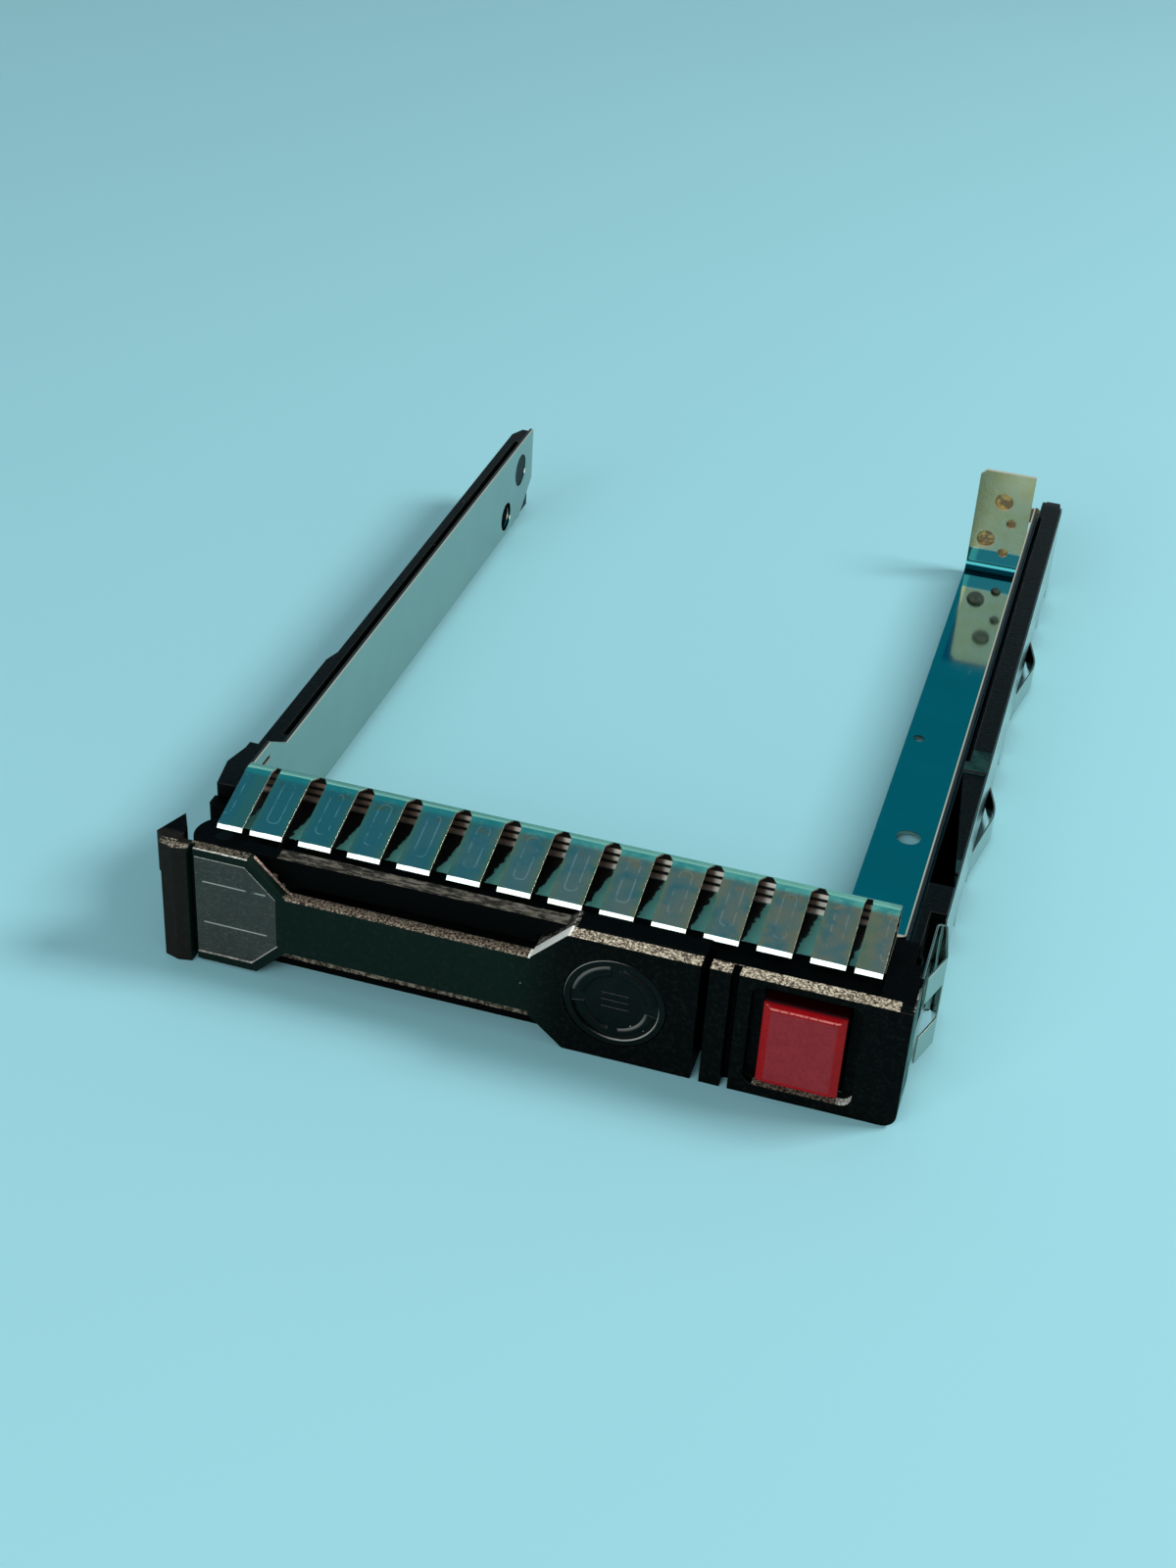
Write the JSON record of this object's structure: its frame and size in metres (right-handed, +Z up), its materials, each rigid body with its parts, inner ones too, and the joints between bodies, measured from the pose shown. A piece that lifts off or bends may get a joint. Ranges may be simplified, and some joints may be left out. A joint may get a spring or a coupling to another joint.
{
  "type": "hot swap drive caddy",
  "caption": "Folded steel tray that holds a small disk drive between two side walls, with moulded guide rails, a front frame, a hinged ejector lever and a sprung release button.",
  "frame": {"origin": "under the middle of the front frame's foot, midway between the side walls, on the plane that the caddy stands on", "axes": "+X to the right seen from the front, +Y to the rear connector end, +Z up"},
  "size_m": [0.0796, 0.119, 0.0166],
  "materials": {
    "stainless": "bright rolled stainless sheet with light scuffs",
    "spring_steel": "bright spring strip, folded and lightly scratched",
    "steel": "plated small steel parts",
    "black_plastic": "fine-textured black moulding with grey worn edges",
    "label": "smooth dark grey plate",
    "lens": "glossy black tinted lens",
    "clear_plastic": "clear light guide",
    "red_plastic": "crimson moulded plastic, polished rim and softer middle",
    "board": "green circuit board",
    "lamp": "small moulded lamps",
    "circuit_film": "dark brown polyimide film with printed tracks",
    "gold": "gold-plated contacts"
  },
  "bodies": {
    "carrier": {"carrier_sheet": "stainless", "bezel_frame": "black_plastic", "lever_pin": "steel", "lever_spring": "steel", "button_spring": "steel", "latch_leaf": "steel", "latch_screw": "steel", "top_finger_strip": "spring_steel", "side_finger_strip": "spring_steel", "rail_spring_strip": "spring_steel", "left_rail": "black_plastic", "right_rail": "black_plastic", "frame_rivets": "steel", "lamp_board": "board", "lamps": "lamp", "flex_circuit": "circuit_film", "contact_pads": "gold"},
    "lever": {"ejector_lever": "black_plastic", "label_plate": "label", "ring_lens": "lens", "ring_light_guide": "clear_plastic"},
    "button": {"release_button": "red_plastic"}
  },
  "joints": [
    {"name": "lever_hinge", "type": "hinge", "parent": "carrier", "child": "lever", "pos_m": [-0.034, -0.00265, 0.0056], "axis": [0, 0, -1], "range_deg": [0, 50], "deforming": ["latch_leaf", "lever_spring"]},
    {"name": "button_slide", "type": "slide", "parent": "carrier", "child": "button", "axis": [0, 1, 0], "range_m": [0, 0.0015], "stiffness_N_per_m": 300, "springref_m": -0.001, "deforming": ["button_spring", "latch_leaf"]}
  ]
}
